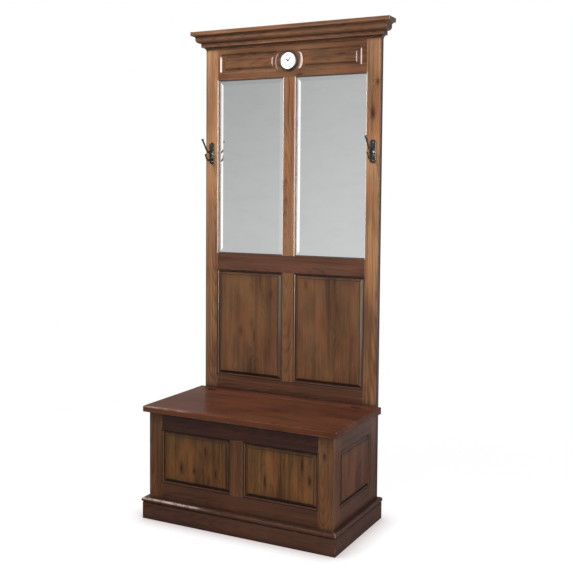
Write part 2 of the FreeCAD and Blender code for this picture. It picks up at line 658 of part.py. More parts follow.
def make_seat():
    width = BODY_HALF + SEAT_OVERHANG
    rail_front = HINGE_DEPTH - SEAM_HALF
    rail = slab(-width, width, BOARD, rail_front, CASE_TOP, SEAT_TOP)
    rail = ease(rail, 3.0, lambda m: abs(abs(m.x) - width) < 0.1 and abs(m.z - SEAT_TOP) < 0.1)

    lid_front = BENCH_DEPTH + SEAT_OVERHANG
    lid = slab(-width, width, HINGE_DEPTH + SEAM_HALF, lid_front, LID_UNDERSIDE, SEAT_TOP)

    def outer(middle):
        return abs(abs(middle.x) - width) < 0.1 or abs(middle.y - y_at(lid_front)) < 0.1

    lid = ease(lid, 5.0, lambda m: outer(m) and (
        abs(m.z - SEAT_TOP) < 0.1 or
        (abs(abs(m.x) - width) < 0.1 and abs(m.y - y_at(lid_front)) < 0.1)))
    lid = ease(lid, 2.5, lambda m: outer(m) and abs(m.z - LID_UNDERSIDE) < 0.1)

    for centre in (-HINGE_CENTRE_X, HINGE_CENTRE_X):
        for cutter in hinge_pocket(centre, -1):
            rail = rail.cut(cutter)
        for cutter in hinge_pocket(centre, 1):
            lid = lid.cut(cutter)
    save("hinge_rail", rail)
    save("lid_board", lid)

    batten = slab(220, 280, 112, 400, LID_UNDERSIDE - 18, LID_UNDERSIDE)
    batten = ease(batten, EASE, lambda m: abs(m.z - (LID_UNDERSIDE - 18)) < 0.1)
    save("lid_battens", mirrored(batten), batten)
    bumper = Part.makeCylinder(5, LID_UNDERSIDE - CASE_TOP, V(392, y_at(430), CASE_TOP))
    save("lid_bumpers", mirrored(bumper), bumper)


def make_hinges():
    third = 2 * LEAF_HALF / 3
    outer = [(-LEAF_HALF, -LEAF_HALF + third - KNUCKLE_GAP), (LEAF_HALF - third + KNUCKLE_GAP, LEAF_HALF)]
    middle = [(-third / 2, third / 2)]
    centres = (-HINGE_CENTRE_X, HINGE_CENTRE_X)
    save("hinge_fixed_leaves", *[leaf(c, -1, outer, PIN_RADIUS) for c in centres])
    save("hinge_moving_leaves", *[leaf(c, 1, middle, PIN_RADIUS + 0.06) for c in centres])
    save("hinge_pins", *[axis_bar(c - LEAF_HALF, c + LEAF_HALF, PIN_RADIUS) for c in centres])
    for side, node in ((-1, "hinge_fixed_screws"), (1, "hinge_moving_screws")):
        save(node, *[screw for c in centres for screw in leaf_screws(c, side)])


# --- plinth ----------------------------------------------------------------------------------
def make_plinth():
    board = [(0, 0), (PLINTH_THICK, 0), (PLINTH_THICK, PLINTH_HEIGHT), (0, PLINTH_HEIGHT)]
    side = right_run(board, BENCH_DEPTH, PLINTH_CAP_REACH)
    save("plinth_front", front_run(board, BENCH_DEPTH, PLINTH_CAP_REACH))
    save("plinth_sides", mirrored(side), side)
    cap = [(0, PLINTH_HEIGHT), (18, PLINTH_HEIGHT), ((18.9, 68.3), (20.5, 69.5)),
           ((PLINTH_CAP_REACH, 76.5), (17.5, PLINTH_CAP_TOP)), (0, PLINTH_CAP_TOP)]
    cap_side = right_run(cap, BENCH_DEPTH, PLINTH_CAP_REACH + 1)
    save("plinth_cap", front_run(cap, BENCH_DEPTH, PLINTH_CAP_REACH + 1), mirrored(cap_side),
         cap_side)


make_tall_frame()
make_mirrors()
make_crown()
make_hooks()
make_clock()
make_bench_front()
make_bench_sides()
make_bench_inside()
make_seat()
make_hinges()
make_plinth()
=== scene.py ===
import math
import random

import bmesh
import bpy
from mathutils import Matrix, Vector


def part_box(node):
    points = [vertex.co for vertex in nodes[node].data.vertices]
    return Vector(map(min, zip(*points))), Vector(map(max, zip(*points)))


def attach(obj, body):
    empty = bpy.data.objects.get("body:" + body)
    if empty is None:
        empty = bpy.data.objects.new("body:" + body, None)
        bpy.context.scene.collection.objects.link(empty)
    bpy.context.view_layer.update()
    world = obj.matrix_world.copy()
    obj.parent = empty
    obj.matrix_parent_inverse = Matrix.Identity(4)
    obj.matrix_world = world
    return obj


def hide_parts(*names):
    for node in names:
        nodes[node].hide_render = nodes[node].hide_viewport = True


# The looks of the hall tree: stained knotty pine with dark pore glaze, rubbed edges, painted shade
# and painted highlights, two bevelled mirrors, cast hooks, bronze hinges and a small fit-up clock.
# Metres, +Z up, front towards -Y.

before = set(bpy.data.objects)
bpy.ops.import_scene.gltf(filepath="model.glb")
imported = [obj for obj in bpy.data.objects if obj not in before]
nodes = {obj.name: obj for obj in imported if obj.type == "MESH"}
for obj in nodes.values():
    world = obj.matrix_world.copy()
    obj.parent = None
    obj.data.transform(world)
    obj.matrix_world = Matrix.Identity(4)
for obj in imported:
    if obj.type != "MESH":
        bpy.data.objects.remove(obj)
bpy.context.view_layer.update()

# --- camera, fitted to the photograph's angle ---
LENS = 57.04                # millimetres
SENSOR = 36.0
SHIFT_UP = -0.07
CAMERA_PLACE = Vector((1.7297, -3.1735, 1.3234))
CAMERA_TURN = math.radians(27.17)       # to the left of straight at the wall
CAMERA_TILT = math.radians(-3.46)
CAMERA_ROLL = math.radians(0.47)

# --- colours, linear ---
GLAZE_AND_SHADE = (0.010, 0.006, 0.005)           # dark glaze in the pores, and the colour of the painted shade in corners
KNOT = (0.020, 0.007, 0.005)
KNOT_HALO = (0.070, 0.020, 0.009)       # redder wood round a knot
WORN_AND_HIGHLIGHT = (0.42, 0.24, 0.17)             # wood laid bare along edges, also standing as a painted highlight on them


# --- shader helper ---
class Shader:
    """Builds the node tree of one material, with the object's own coordinates."""

    def __init__(self, name):
        self.material = bpy.data.materials.new(name)
        self.material.use_nodes = True
        self.tree = self.material.node_tree
        self.surface = self.tree.nodes["Principled BSDF"]
        self.place = self.add("ShaderNodeTexCoord").outputs["Object"]

    def add(self, kind, settings=None, **inputs):
        """A node with its settings and inputs; an input is a value or another node's output."""
        node = self.tree.nodes.new(kind)
        for name, value in (settings or {}).items():
            setattr(node, name, value)
        for name, value in inputs.items():
            self.feed(node.inputs[name.replace("_", " ")], value)
        return node

    def feed(self, socket, value):
        if isinstance(value, bpy.types.NodeSocket):
            self.tree.links.new(value, socket)
        elif isinstance(value, tuple) and len(value) == 3 and socket.type == "RGBA":
            socket.default_value = (*value, 1.0)
        else:
            socket.default_value = value

    def math(self, operation, a, b=0.0, clamp=False):
        node = self.add("ShaderNodeMath", {"operation": operation, "use_clamp": clamp})
        self.feed(node.inputs[0], a)
        self.feed(node.inputs[1], b)
        return node.outputs[0]

    def plus(self, a, b, clamp=False):
        return self.math("ADD", a, b, clamp)

    def minus(self, a, b):
        return self.math("SUBTRACT", a, b)

    def times(self, a, b, clamp=False):
        return self.math("MULTIPLY", a, b, clamp)

    def larger(self, a, b):
        return self.math("MAXIMUM", a, b)

    def square(self, a, b):
        """The square of a distance whose two parts are a and b."""
        return self.plus(self.times(a, a), self.times(b, b))

    def length(self, a, b):
        return self.math("SQRT", self.square(a, b))

    def gap(self, a, b):
        """How far a and b are apart."""
        return self.math("ABSOLUTE", self.minus(a, b))

    def split(self, vector):
        return self.add("ShaderNodeSeparateXYZ", Vector=vector).outputs

    def join(self, x, y, z):
        return self.add("ShaderNodeCombineXYZ", X=x, Y=y, Z=z).outputs[0]

    def scaled(self, vector, sizes, offset=(0.0, 0.0, 0.0)):
        """The vector times sizes, plus an offset."""
        return self.add("ShaderNodeMapping", Vector=vector, Scale=sizes, Location=offset).outputs[0]

    def noise(self, vector, scale=1.0, detail=2.0, roughness=0.5):
        return self.add("ShaderNodeTexNoise", Vector=vector, Scale=scale, Detail=detail,
                        Roughness=roughness).outputs

    def fade(self, value, start, end, low=0.0, high=1.0):
        """Runs smoothly from low to high as value goes from start to end."""
        node = self.add("ShaderNodeMapRange", {"interpolation_type": "SMOOTHSTEP"}, Value=value,
                        From_Min=start, From_Max=end, To_Min=low, To_Max=high)
        return node.outputs[0]

    def mix(self, share, a, b, blend="MIX"):
        """Colour a, turning to b as share goes to 1."""
        node = self.add("ShaderNodeMix", {"data_type": "RGBA", "blend_type": blend})
        self.feed(node.inputs["Factor"], share)
        self.feed(node.inputs[6], a)
        self.feed(node.inputs[7], b)
        return node.outputs[2]

    def ramp(self, value, *stops):
        """Grey levels at places from 0 to 1."""
        node = self.add("ShaderNodeValToRGB", Fac=value)
        points = node.color_ramp.elements
        while len(points) < len(stops):
            points.new(0.5)
        for point, (place, level) in zip(points, stops):
            point.position = place
            point.color = (level, level, level, 1.0)
        return node.outputs["Color"]

    def bump(self, height, distance, strength=1.0):
        node = self.add("ShaderNodeBump", Height=height, Distance=distance, Strength=strength)
        self.feed(self.surface.inputs["Normal"], node.outputs[0])

    def edges(self, radius):
        """How far the surface turns within a radius: 0 on a flat, up to 1 at a corner."""
        soft = self.add("ShaderNodeBevel", {"samples": 4}, Radius=radius).outputs[0]
        flat = self.add("ShaderNodeNewGeometry").outputs["Normal"]
        dot = self.add("ShaderNodeVectorMath", {"operation": "DOT_PRODUCT"})
        self.feed(dot.inputs[0], soft)
        self.feed(dot.inputs[1], flat)
        return self.math("SUBTRACT", 1.0, dot.outputs["Value"], clamp=True)

    def openness(self, distance):
        """1 in the open, falling towards 0 in a corner."""
        node = self.add("ShaderNodeAmbientOcclusion", {"samples": 4}, Distance=distance)
        return node.outputs["AO"]

    def finish(self, colour, roughness, **settings):
        """Links colour and roughness, and sets what is the same all over."""
        self.feed(self.surface.inputs["Base Color"], colour)
        self.feed(self.surface.inputs["Roughness"], roughness)
        for name, value in settings.items():
            self.surface.inputs[name.replace("_", " ")].default_value = value
        return self.material


# --- wood ---
AXES = {"x": 0, "y": 1, "z": 2}
RING_WIDTH = 0.0052         # growth ring
RING_PROFILE = ((0.0, 0.25), (0.15, 0.0), (0.60, 0.25), (0.88, 1.0), (1.0, 0.25))
PITH_DEPTH = 0.055          # heart of the tree behind the face
PITH_ASIDE = 0.035          # and at most this far to one side
SWAY_ACROSS = 0.030         # how far the rings wander
SWAY_DEPTH = 0.050
KNOT_BULGE = 0.022          # how far they go round a knot
PANEL_MARGIN = 0.0165       # sloped border of a raised panel
GLASS_COVER = 0.0065        # how far a mirror runs under its frame
ARRIS_HIGHLIGHT = 0.0032              # width of the painted highlight on the inner edge beside the mirrors
SHADED_SIDE_REACH = 0.004         # how far the painted shade of an outer side reaches round its corner
PANEL_TONGUE = 0.0015       # the opening of a frame is this much wider than its panel
QUIRK_SHADE_HALF = 0.0026         # half the width of the painted shadow line round a panel's opening
GROOVE_END = 0.326          # painted highlights on the flanks of the header's groove, from the clock's centre
GROOVE_ARC = 0.061
GROOVE_HALF_HIGH = 0.034
WORN_BACK = 0.010           # the pale line of wear and painted highlight on a front top edge reaches this far behind the face
WORN_DOWN = 0.008           # and this far below the top
SHELTER = 0.028             # a surface this close shelters wood from wear, and darkens it with painted shade
PLIES = 700.0               # layers in a metre of plywood
# cream of the painted highlights, also of the wear along a front top edge
HIGHLIGHT_AND_WEAR_CREAM = (0.52, 0.42, 0.37)

# how fine the textures are along, across and into a board
FIBRE = (14.0, 620.0, 620.0)
STREAK = (1.8, 85.0, 85.0)
SMEAR = (3.0, 34.0, 34.0)
BLOTCH = (3.2, 9.0, 9.0)
HUE = (5.0, 16.0, 16.0)
PORES = (60.0, 90.0, 90.0)
SWAY = (1.6, 7.0, 7.0)      # slow wander of the growth rings
PATCHES = (26.0, 26.0, 26.0)
RAW_FIBRE = (18.0, 520.0, 520.0)
RAW_BLOTCH = (4.0, 10.0, 10.0)

HUE_PLACE = (4.0, 7.0, 2.0)             # where in the noise the drift of hue is taken
WARM_TINT = (1.06, 0.96, 0.90)
COOL_TINT = (0.97, 1.03, 1.02)


def mirror_lips(mirror):
    """The x of the frame's inner edges, left and right of a mirror."""
    low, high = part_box(mirror)
    return low.x + GLASS_COVER, high.x - GLASS_COVER


def board_place(shader, node, grain, face):
    """Coordinates along the grain, across the board and into it, from the board's middle."""
    low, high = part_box(node)
    middle = (low + high) / 2
    parts = shader.split(shader.place)
    across = ({0, 1, 2} - {AXES[grain], AXES[face]}).pop()
    order = (AXES[grain], across, AXES[face])
    return [shader.minus(parts[axis], middle[axis]) for axis in order]


def random_place(chance):
    """A place in endless noise, so that no two boards are alike."""
    return chance.uniform(-9, 9), chance.uniform(-9, 9), chance.uniform(-9, 9)


def knot(shader, along, across, place, length, width):
    """Bulge of the growth rings and dark core of one knot, a long mark."""
    a = shader.math("DIVIDE", shader.minus(along, place[0]), length)
    b = shader.math("DIVIDE", shader.minus(across, place[1]), width)
    square = shader.square(a, b)
    bulge = shader.math("POWER", math.e, shader.times(square, -0.22))
    core = shader.math("POWER", math.e, shader.times(square, -1.3))
    return bulge, core


def growth(shader, along, across, depth, chance, bulge):
    """Growth rings of a flat-sawn board: 0 in pale early wood, 1 in the dark line."""
    shift = random_place(chance)
    place = shader.join(along, across, depth)
    sway = shader.split(shader.noise(shader.scaled(place, SWAY, shift), 1.0, 2.0)[1])
    sway_across = shader.times(shader.minus(sway[0], 0.5), SWAY_ACROSS)
    sway_depth = shader.times(shader.minus(sway[1], 0.5), SWAY_DEPTH)
    heart = chance.uniform(-PITH_ASIDE, PITH_ASIDE)
    b = shader.plus(shader.minus(across, heart), sway_across)
    lean = shader.times(along, chance.choice((-1, 1)) * chance.uniform(0.03, 0.08))
    c = shader.plus(shader.plus(depth, PITH_DEPTH), sway_depth)
    c = shader.plus(c, lean)
    radius = shader.plus(shader.length(b, c), shader.times(bulge, KNOT_BULGE))
    turns = shader.math("FRACT", shader.math("DIVIDE", radius, RING_WIDTH))
    return shader.ramp(turns, *RING_PROFILE)


def near_x(shader, place, reach):
    """1 at an x of the object, fading out over a short reach."""
    gap = shader.gap(shader.split(shader.place)[0], place)
    return shader.fade(gap, reach, reach * 0.4)


def pale_arris(shader, lips):
    """Painted highlight on the inner edges of the mirror frame, along the height of the glass."""
    low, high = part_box("left_mirror")
    z = shader.split(shader.place)[2]
    inside = shader.times(shader.fade(z, low.z + 0.003, low.z + 0.007),
                          shader.fade(z, high.z - 0.003, high.z - 0.007))
    share = 0.0
    for place in lips:
        share = shader.larger(share, near_x(shader, place, ARRIS_HIGHLIGHT))
    return shader.times(share, inside)


def sunk_margin(shader, node, grain, face, margin):
    """Painted shade on the sloped border of a raised panel: most on the downward-facing slope and
    along the step, a little on the field beside it.
    """
    low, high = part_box(node)
    half = (high - low) / 2
    along, across, _ = board_place(shader, node, grain, face)
    wide = ({0, 1, 2} - {AXES[grain], AXES[face]}).pop()
    from_end = shader.minus(half[AXES[grain]], shader.math("ABSOLUTE", along))
    from_side = shader.minus(half[wide], shader.math("ABSOLUTE", across))
    nearest = shader.math("MINIMUM", from_end, from_side)
    slope = shader.fade(nearest, margin, margin - 0.002)
    upward = shader.split(shader.add("ShaderNodeNewGeometry").outputs["True Normal"])[2]
    # painted shade: a slope facing down is darker than one facing up
    facing_shade = shader.larger(shader.fade(upward, -0.10, -0.30, 0.28, 0.95),
                            shader.fade(upward, 0.10, 0.30, 0.28, 0.50))
    # painted shadow line along the step
    step = shader.fade(shader.gap(nearest, margin), 0.0030, 0.0012, 0.0, 0.85)
    # painted shade on the field near its border
    edge_shade = shader.fade(nearest, margin + 0.030, margin, 0.0, 0.22)
    shade_total = shader.larger(shader.times(slope, facing_shade), step)
    return shader.larger(shade_total, edge_shade)


def quirk_line(shader, face, panels):
    """Painted shadow: the thin dark line where the moulded edge round a panel starts."""
    parts = shader.split(shader.place)
    across = 0 if face == "y" else 1
    share = 0.0
    for panel in panels:
        low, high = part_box(panel)
        middle = (low + high) / 2
        reach = (high - low) / 2
        beside = shader.minus(shader.gap(parts[across], middle[across]),
                              reach[across] + PANEL_TONGUE)
        above = shader.minus(shader.gap(parts[2], middle.z), reach.z + PANEL_TONGUE)
        gap = shader.math("ABSOLUTE", shader.larger(beside, above))
        share = shader.larger(share, shader.fade(gap, QUIRK_SHADE_HALF, QUIRK_SHADE_HALF * 0.4))
    return share


def front_edge(shader, low, high, start, end):
    """The front top edge of a board, between two x."""
    x, y, z = shader.split(shader.place)
    line = shader.times(shader.fade(y, low.y + WORN_BACK, low.y + WORN_BACK / 2),
                        shader.fade(z, high.z - WORN_DOWN, high.z - 0.003))
    along = shader.times(shader.fade(x, start, start + 0.02), shader.fade(x, end, end - 0.12))
    return shader.times(line, along)


def pale_grooves(shader):
    """Painted highlights on the flanks of the header's groove: both far ends and the arc right of
    the clock.
    """
    low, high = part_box("clock_dial")
    middle = (low + high) / 2
    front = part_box("header_rail")[0].y
    x, y, z = shader.split(shader.place)
    dx = shader.minus(x, middle.x)
    dz = shader.minus(z, middle.z)
    arc = shader.fade(shader.gap(shader.length(dx, dz), GROOVE_ARC), 0.0040, 0.0015)
    arc = shader.times(arc, shader.fade(dx, -0.01, 0.01, 0.35, 1.0))
    ends = shader.gap(shader.math("ABSOLUTE", dx), GROOVE_END)
    line = shader.larger(shader.fade(ends, 0.0045, 0.0020), arc)
    line = shader.times(line, shader.fade(y, front + 0.010, front + 0.008))
    inside = shader.fade(shader.math("ABSOLUTE", dz), GROOVE_HALF_HIGH, GROOVE_HALF_HIGH - 0.005)
    return shader.times(line, inside)


class Finish:
    """How a stained piece looks. A piece's own settings replace the usual ones given here."""

    knots = ()              # each is (x or y, z, length, width)
    width = 0.0             # of its glued boards, 0 for a single one
    figure = 0.6            # strength of streaks and patches
    contrast = 1.0          # strength of the grain
    relief = 0.00012        # depth of the open grain
    pores = 1.0             # share of dark pores and of uneven gloss
    knot_depth = 0.95       # how dark the knots are
    gloss = 0.36            # roughness of the varnish
    shine = 1.0             # strength of what the varnish reflects
    rubbed = 0.5            # how far the edges are worn, and how strong their painted highlight is
    aged_foot = 0.0         # painted shade: how much a tall post darkens towards its lower end
    margin = 0.0            # width of a raised panel's sloped border
    panels = ()             # raised panels that it frames
    lips = ()               # x of its inner edges beside the mirrors, which carry a painted highlight
    dark_side = None        # x of an outer side darkened by painted shade
    worn_front = None       # pale front top edge, both wear and a painted highlight: from x, to x, how much
    worn_grooves = False    # painted highlights on the header's groove

    def __init__(self, **settings):
        for name, value in settings.items():
            setattr(self, name, value)


class StainedWood:
    """Builds the look of one stained piece, from the grain up to its rubbed edges."""

    def __init__(self, node, grain, face, finish):
        chance = random.Random(node)
        self.node = node
        self.grain = grain
        self.face = face
        self.finish = finish
        self.shader = Shader("stained_" + node)
        self.low, self.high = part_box(node)
        self.along, self.across, self.depth = board_place(self.shader, node, grain, face)
        self.tone = chance.uniform(-0.12, 0.12)
        self.bulge, core = self.all_knots()
        self.core = self.shader.times(core, finish.knot_depth, clamp=True)
        log_along, board_across, self.board_tone = self.glued_boards()
        self.ring = growth(self.shader, log_along, board_across, self.depth, chance, self.bulge)
        self.shift = random_place(chance)
        self.place = self.shader.join(self.along, self.across, self.depth)
        self.fibre = self.texture(FIBRE)
        self.patchy = self.shader.noise(self.shader.scaled(self.shader.place, PATCHES, self.shift),
                                        1.0, 4.0, 0.7)[0]

    def texture(self, fineness, roughness=0.6):
        """Noise drawn out along the grain."""
        place = self.shader.scaled(self.place, fineness, self.shift)
        return self.shader.noise(place, 1.0, 3.0, roughness)[0]

    def glued_boards(self):
        """Coordinates along the log and across its own board, and each board's random tone."""
        shader = self.shader
        width = self.finish.width
        if not width:
            return self.along, self.across, None
        index = shader.math("FLOOR", shader.math("DIVIDE", self.across, width))
        tone = shader.add("ShaderNodeTexWhiteNoise", {"noise_dimensions": "1D"}, W=index)
        tone = tone.outputs["Value"]
        log_along = shader.plus(self.along, shader.times(tone, 3.0))
        inside = shader.minus(self.across, shader.times(index, width))
        return log_along, shader.minus(inside, width / 2), tone

    def all_knots(self):
        """Bulge and core of the knots together, made ragged by fine noise."""
        shader = self.shader
        middle = (self.low + self.high) / 2
        ragged = shader.split(shader.noise(shader.place, 55.0, 3.0, 0.6)[1])
        along = shader.plus(self.along, shader.fade(ragged[0], 0.0, 1.0, -0.008, 0.008))
        across = shader.plus(self.across, shader.fade(ragged[1], 0.0, 1.0, -0.003, 0.003))
        bulge = 0.0
        core = 0.0
        for u, z, length, width in self.finish.knots:
            sideways = u - middle.x
            up = z - middle.z
            place = (up, sideways) if self.grain == "z" else (sideways, up)
            one_bulge, one_core = knot(shader, along, across, place, length, width)
            bulge = shader.plus(bulge, one_bulge)
            core = shader.plus(core, one_core)
        return bulge, core

    def darkness(self):
        """0 in the palest wood and 1 in the darkest: rings, streaks, patches, boards and a post's
        painted shade towards its foot.
        """
        shader = self.shader
        contrast = self.finish.contrast
        figure = self.finish.figure
        blotch = self.texture(BLOTCH, 0.55)
        layers = [(self.texture(STREAK), 0.30, 0.72, 0.10 - 0.16 * contrast, 0.10 + 0.30 * contrast),
                  (blotch, 0.30, 0.70, -0.28 * figure, 0.34 * figure),
                  (self.texture(SMEAR), 0.36, 0.70, -0.12 * figure, 0.26 * figure),
                  (self.fibre, 0.35, 0.75, -0.05, -0.05 + 0.19 * contrast)]
        if self.board_tone is not None:
            layers.append((self.board_tone, 0.0, 1.0, -0.12, 0.16))
        # painted shade: a tall post darker towards its lower end
        if self.finish.aged_foot:
            half = (self.high.z - self.low.z) / 2
            layers.append((self.along, 0.35 * half, -0.45 * half, 0.0, self.finish.aged_foot))
        level = shader.times(self.ring, 0.34 * contrast)
        for value, start, end, low, high in layers:
            level = shader.plus(level, shader.fade(value, start, end, low, high))
        return shader.plus(level, 0.12 + self.tone, clamp=True)

    def stain(self, pale, dark):
        """Colour of the grain, drifting a little in hue, with the knots in it."""
        shader = self.shader
        colour = shader.mix(self.darkness(), pale, dark)
        hue = shader.noise(shader.scaled(self.place, HUE, HUE_PLACE), 1.0, 3.0)[0]
        tint = shader.mix(shader.fade(hue, 0.35, 0.65), WARM_TINT, COOL_TINT)
        tinted = shader.mix(1.0, colour, tint, "MULTIPLY")
        colour = shader.mix(min(1.0, 1.3 * self.finish.figure), colour, tinted)
        halo = shader.times(self.bulge, 0.22, clamp=True)
        colour = shader.mix(halo, colour, KNOT_HALO)
        return shader.mix(self.core, colour, KNOT)

    def pore_specks(self):
        """Small dark pores that hold glaze."""
        shader = self.shader
        cells = shader.add("ShaderNodeTexVoronoi", Vector=shader.scaled(self.place, PORES),
                           Scale=1.0)
        chosen = shader.fade(shader.split(cells.outputs["Color"])[0], 0.80, 0.82)
        return shader.times(shader.fade(cells.outputs["Distance"], 0.10, 0.03), chosen)

    def edge_wear(self, open_air):
        """Edges rubbed in patches where nothing shelters them; their paler wood is also a painted
        highlight.
        """
        shader = self.shader
        rubbed = self.finish.rubbed
        wear = shader.fade(shader.edges(0.0012 + 0.0045 * rubbed), 0.03, 0.24)
        patches = shader.fade(self.patchy, 0.62 - 0.3 * rubbed, 0.80 - 0.2 * rubbed)
        wear = shader.times(wear, patches)
        return shader.times(wear, shader.fade(open_air, 0.85, 0.97))

    def glaze_left(self, open_air):
        """Painted shade: darker in corners and recesses, on panel borders and their frames, and on
        an outer side.
        """
        shader = self.shader
        finish = self.finish
        places = []
        if finish.panels:
            places.append(quirk_line(shader, self.face, finish.panels))
        if finish.margin:
            places.append(sunk_margin(shader, self.node, self.grain, self.face, finish.margin))
        if finish.dark_side is not None:
            # painted shade on the outer side face
            places.append(near_x(shader, finish.dark_side, SHADED_SIDE_REACH))
        # painted shade in corners and recesses, where the surface is little open
        glaze = shader.fade(open_air, 0.90, 0.45)
        for place in places:
            glaze = shader.larger(glaze, place)
        return glaze

    def worn_lines(self, colour):
        """The colour with painted highlights along the mirror edges and the groove, and a pale line
        of wear and painted highlight on a front top edge.
        """
        shader = self.shader
        finish = self.finish
        lines = []
        # painted highlight along the mirror edges, in patches
        if finish.lips:
            worn = shader.fade(self.patchy, 0.25, 0.55, 0.85, 1.0)
            lines.append((pale_arris(shader, finish.lips), worn))
        # wear and painted highlight along the front top edge
        if finish.worn_front:
            start, end, most = finish.worn_front
            worn = shader.fade(self.patchy, 0.40, 0.55, 0.3 * most, most)
            lines.append((front_edge(shader, self.low, self.high, start, end), worn))
        # painted highlights on the groove's flanks
        if finish.worn_grooves:
            worn = shader.fade(self.patchy, 0.25, 0.50, 0.45, 0.85)
            lines.append((pale_grooves(shader), worn))
        for line, worn in lines:
            colour = shader.mix(shader.times(line, worn), colour, HIGHLIGHT_AND_WEAR_CREAM)
        return colour

    def roughness(self, wear):
        """Uneven varnish, duller where it is rubbed off."""
        shader = self.shader
        pores = self.finish.pores
        rough = shader.plus(self.finish.gloss, shader.times(self.ring, -0.06 * pores))
        rough = shader.plus(rough,
                            shader.fade(self.patchy, 0.3, 0.8, -0.05 * pores, 0.09 * pores))
        return shader.plus(rough, shader.times(wear, 0.20))

    def open_grain(self, speck):
        """Relief of fibres and rings, sunk at pores and knots."""
        shader = self.shader
        height = shader.plus(shader.times(self.fibre, 0.5), shader.times(self.ring, 0.3))
        height = shader.minus(height, shader.times(speck, 0.8))
        return shader.minus(height, shader.times(self.core, 0.5))

    def material(self, pale, dark):
        """The whole finish in order: stain, pores, worn edges and their painted highlight, painted
        shade, highlight lines.
        """
        shader = self.shader
        finish = self.finish
        speck = self.pore_specks()
        open_air = shader.openness(SHELTER)
        wear = self.edge_wear(open_air)
        colour = self.stain(pale, dark)
        colour = shader.mix(shader.times(speck, 0.75 * finish.pores), colour, GLAZE_AND_SHADE)
        # worn edges, their paler wood also a painted highlight
        bare = shader.times(wear, 0.30 + 0.5 * finish.rubbed)
        colour = shader.mix(bare, colour, WORN_AND_HIGHLIGHT)
        # painted shade, in the colour of the glaze
        glaze = shader.times(self.glaze_left(open_air), 0.85)
        colour = self.worn_lines(shader.mix(glaze, colour, GLAZE_AND_SHADE))
        shader.bump(self.open_grain(speck), finish.relief, 0.5)
        return shader.finish(colour, self.roughness(wear), Coat_Weight=0.12 * finish.shine,
                             Coat_Roughness=0.12, IOR=1.45,
                             Specular_IOR_Level=0.13 * finish.shine)


def raw_wood(node, grain, face, pale, dark, layers=False):
    """Bare timber or plywood of the hidden parts; plywood shows its layers on the edges."""
    chance = random.Random(node)
    shader = Shader("raw_" + node)
    along, across, depth = board_place(shader, node, grain, face)
    ring = growth(shader, along, across, depth, chance, 0.0)
    place = shader.join(along, across, depth)
    fibre = shader.noise(shader.scaled(place, RAW_FIBRE), 1.0, 3.0, 0.6)[0]
    blotch = shader.noise(shader.scaled(place, RAW_BLOTCH), 1.0, 3.0)[0]
    level = shader.times(ring, 0.45)
    level = shader.plus(level, shader.fade(fibre, 0.35, 0.7, 0.0, 0.3))
    level = shader.plus(level, shader.fade(blotch, 0.3, 0.7, 0.0, 0.3), clamp=True)
    colour = shader.mix(level, pale, dark)
    if layers:
        ply = shader.math("FRACT", shader.times(depth, PLIES))
        colour = shader.mix(shader.fade(ply, 0.45, 0.55, 0.0, 0.25), colour, dark)
    wear = shader.fade(shader.edges(0.0015), 0.05, 0.4, 0.0, 0.3)
    colour = shader.mix(wear, colour, dark)
    shader.bump(fibre, 0.0004, 0.6)
    return shader.finish(colour, shader.fade(fibre, 0.3, 0.7, 0.62, 0.80))


# --- other materials ---
def silvered_glass():
    """Mirror: silver seen through slightly green glass, with faint smears."""
    shader = Shader("silvered_glass")
    smear = shader.noise(shader.scaled(shader.place, (9.0, 9.0, 22.0)), 1.0, 5.0, 0.65)[0]
    dust = shader.noise(shader.place, 900.0, 2.0)[0]
    colour = shader.mix(shader.fade(smear, 0.4, 0.8), (0.86, 0.885, 0.875), (0.82, 0.845, 0.835))
    rough = shader.plus(shader.fade(smear, 0.45, 0.85, 0.012, 0.045),
                        shader.fade(dust, 0.62, 0.8, 0.0, 0.03))
    shader.bump(smear, 0.0002, 0.04)
    return shader.finish(colour, rough, Metallic=1.0)


def patinated_metal(name, colours, rough, grain, edge_wear=0.7):
    """Cast or pressed metal with a dark patina, rubbed bright along its edges."""
    base, bright = colours
    shader = Shader(name)
    cloud = shader.noise(shader.place, 60.0, 5.0, 0.6)[0]
    pits = shader.noise(shader.place, grain, 3.0, 0.7)[0]
    colour = shader.mix(shader.fade(cloud, 0.35, 0.7), base, tuple(1.7 * c for c in base))
    wear = shader.times(shader.fade(shader.edges(0.0012), 0.02, 0.25),
                        shader.fade(cloud, 0.35, 0.6))
    colour = shader.mix(shader.times(wear, edge_wear), colour, bright)
    roughness = shader.plus(shader.fade(pits, 0.3, 0.7, rough - 0.08, rough + 0.12),
                            shader.times(wear, -0.12))
    shader.bump(pits, 0.0002, 0.45)
    return shader.finish(colour, roughness, Metallic=0.85)


def moulded(name, base, rough, grain=900.0):
    """Moulded plastic or rubber with a fine spark texture and slightly scuffed edges."""
    shader = Shader(name)
    texture = shader.noise(shader.place, grain, 2.0)[0]
    cloud = shader.noise(shader.place, 45.0, 4.0)[0]
    colour = shader.mix(shader.fade(cloud, 0.3, 0.7), base, tuple(1.3 * c + 0.004 for c in base))
    scuff = shader.fade(shader.edges(0.0006), 0.05, 0.4, 0.0, 0.35)
    colour = shader.mix(scuff, colour, tuple(min(1.0, 2.2 * c + 0.03) for c in base))
    shader.bump(texture, 0.0001, 0.4)
    return shader.finish(colour, shader.fade(texture, 0.3, 0.7, rough - 0.06, rough + 0.08))


DIAL_RING = 0.91            # where the black ring on the dial's rim starts, of its radius
DIAL_BLACK = (0.012, 0.011, 0.011)
DIAL_FIBRE = (0.80, 0.78, 0.74)
DIAL_MIDDLE = (0.93, 0.93, 0.91)
DIAL_EDGE = (0.88, 0.86, 0.80)


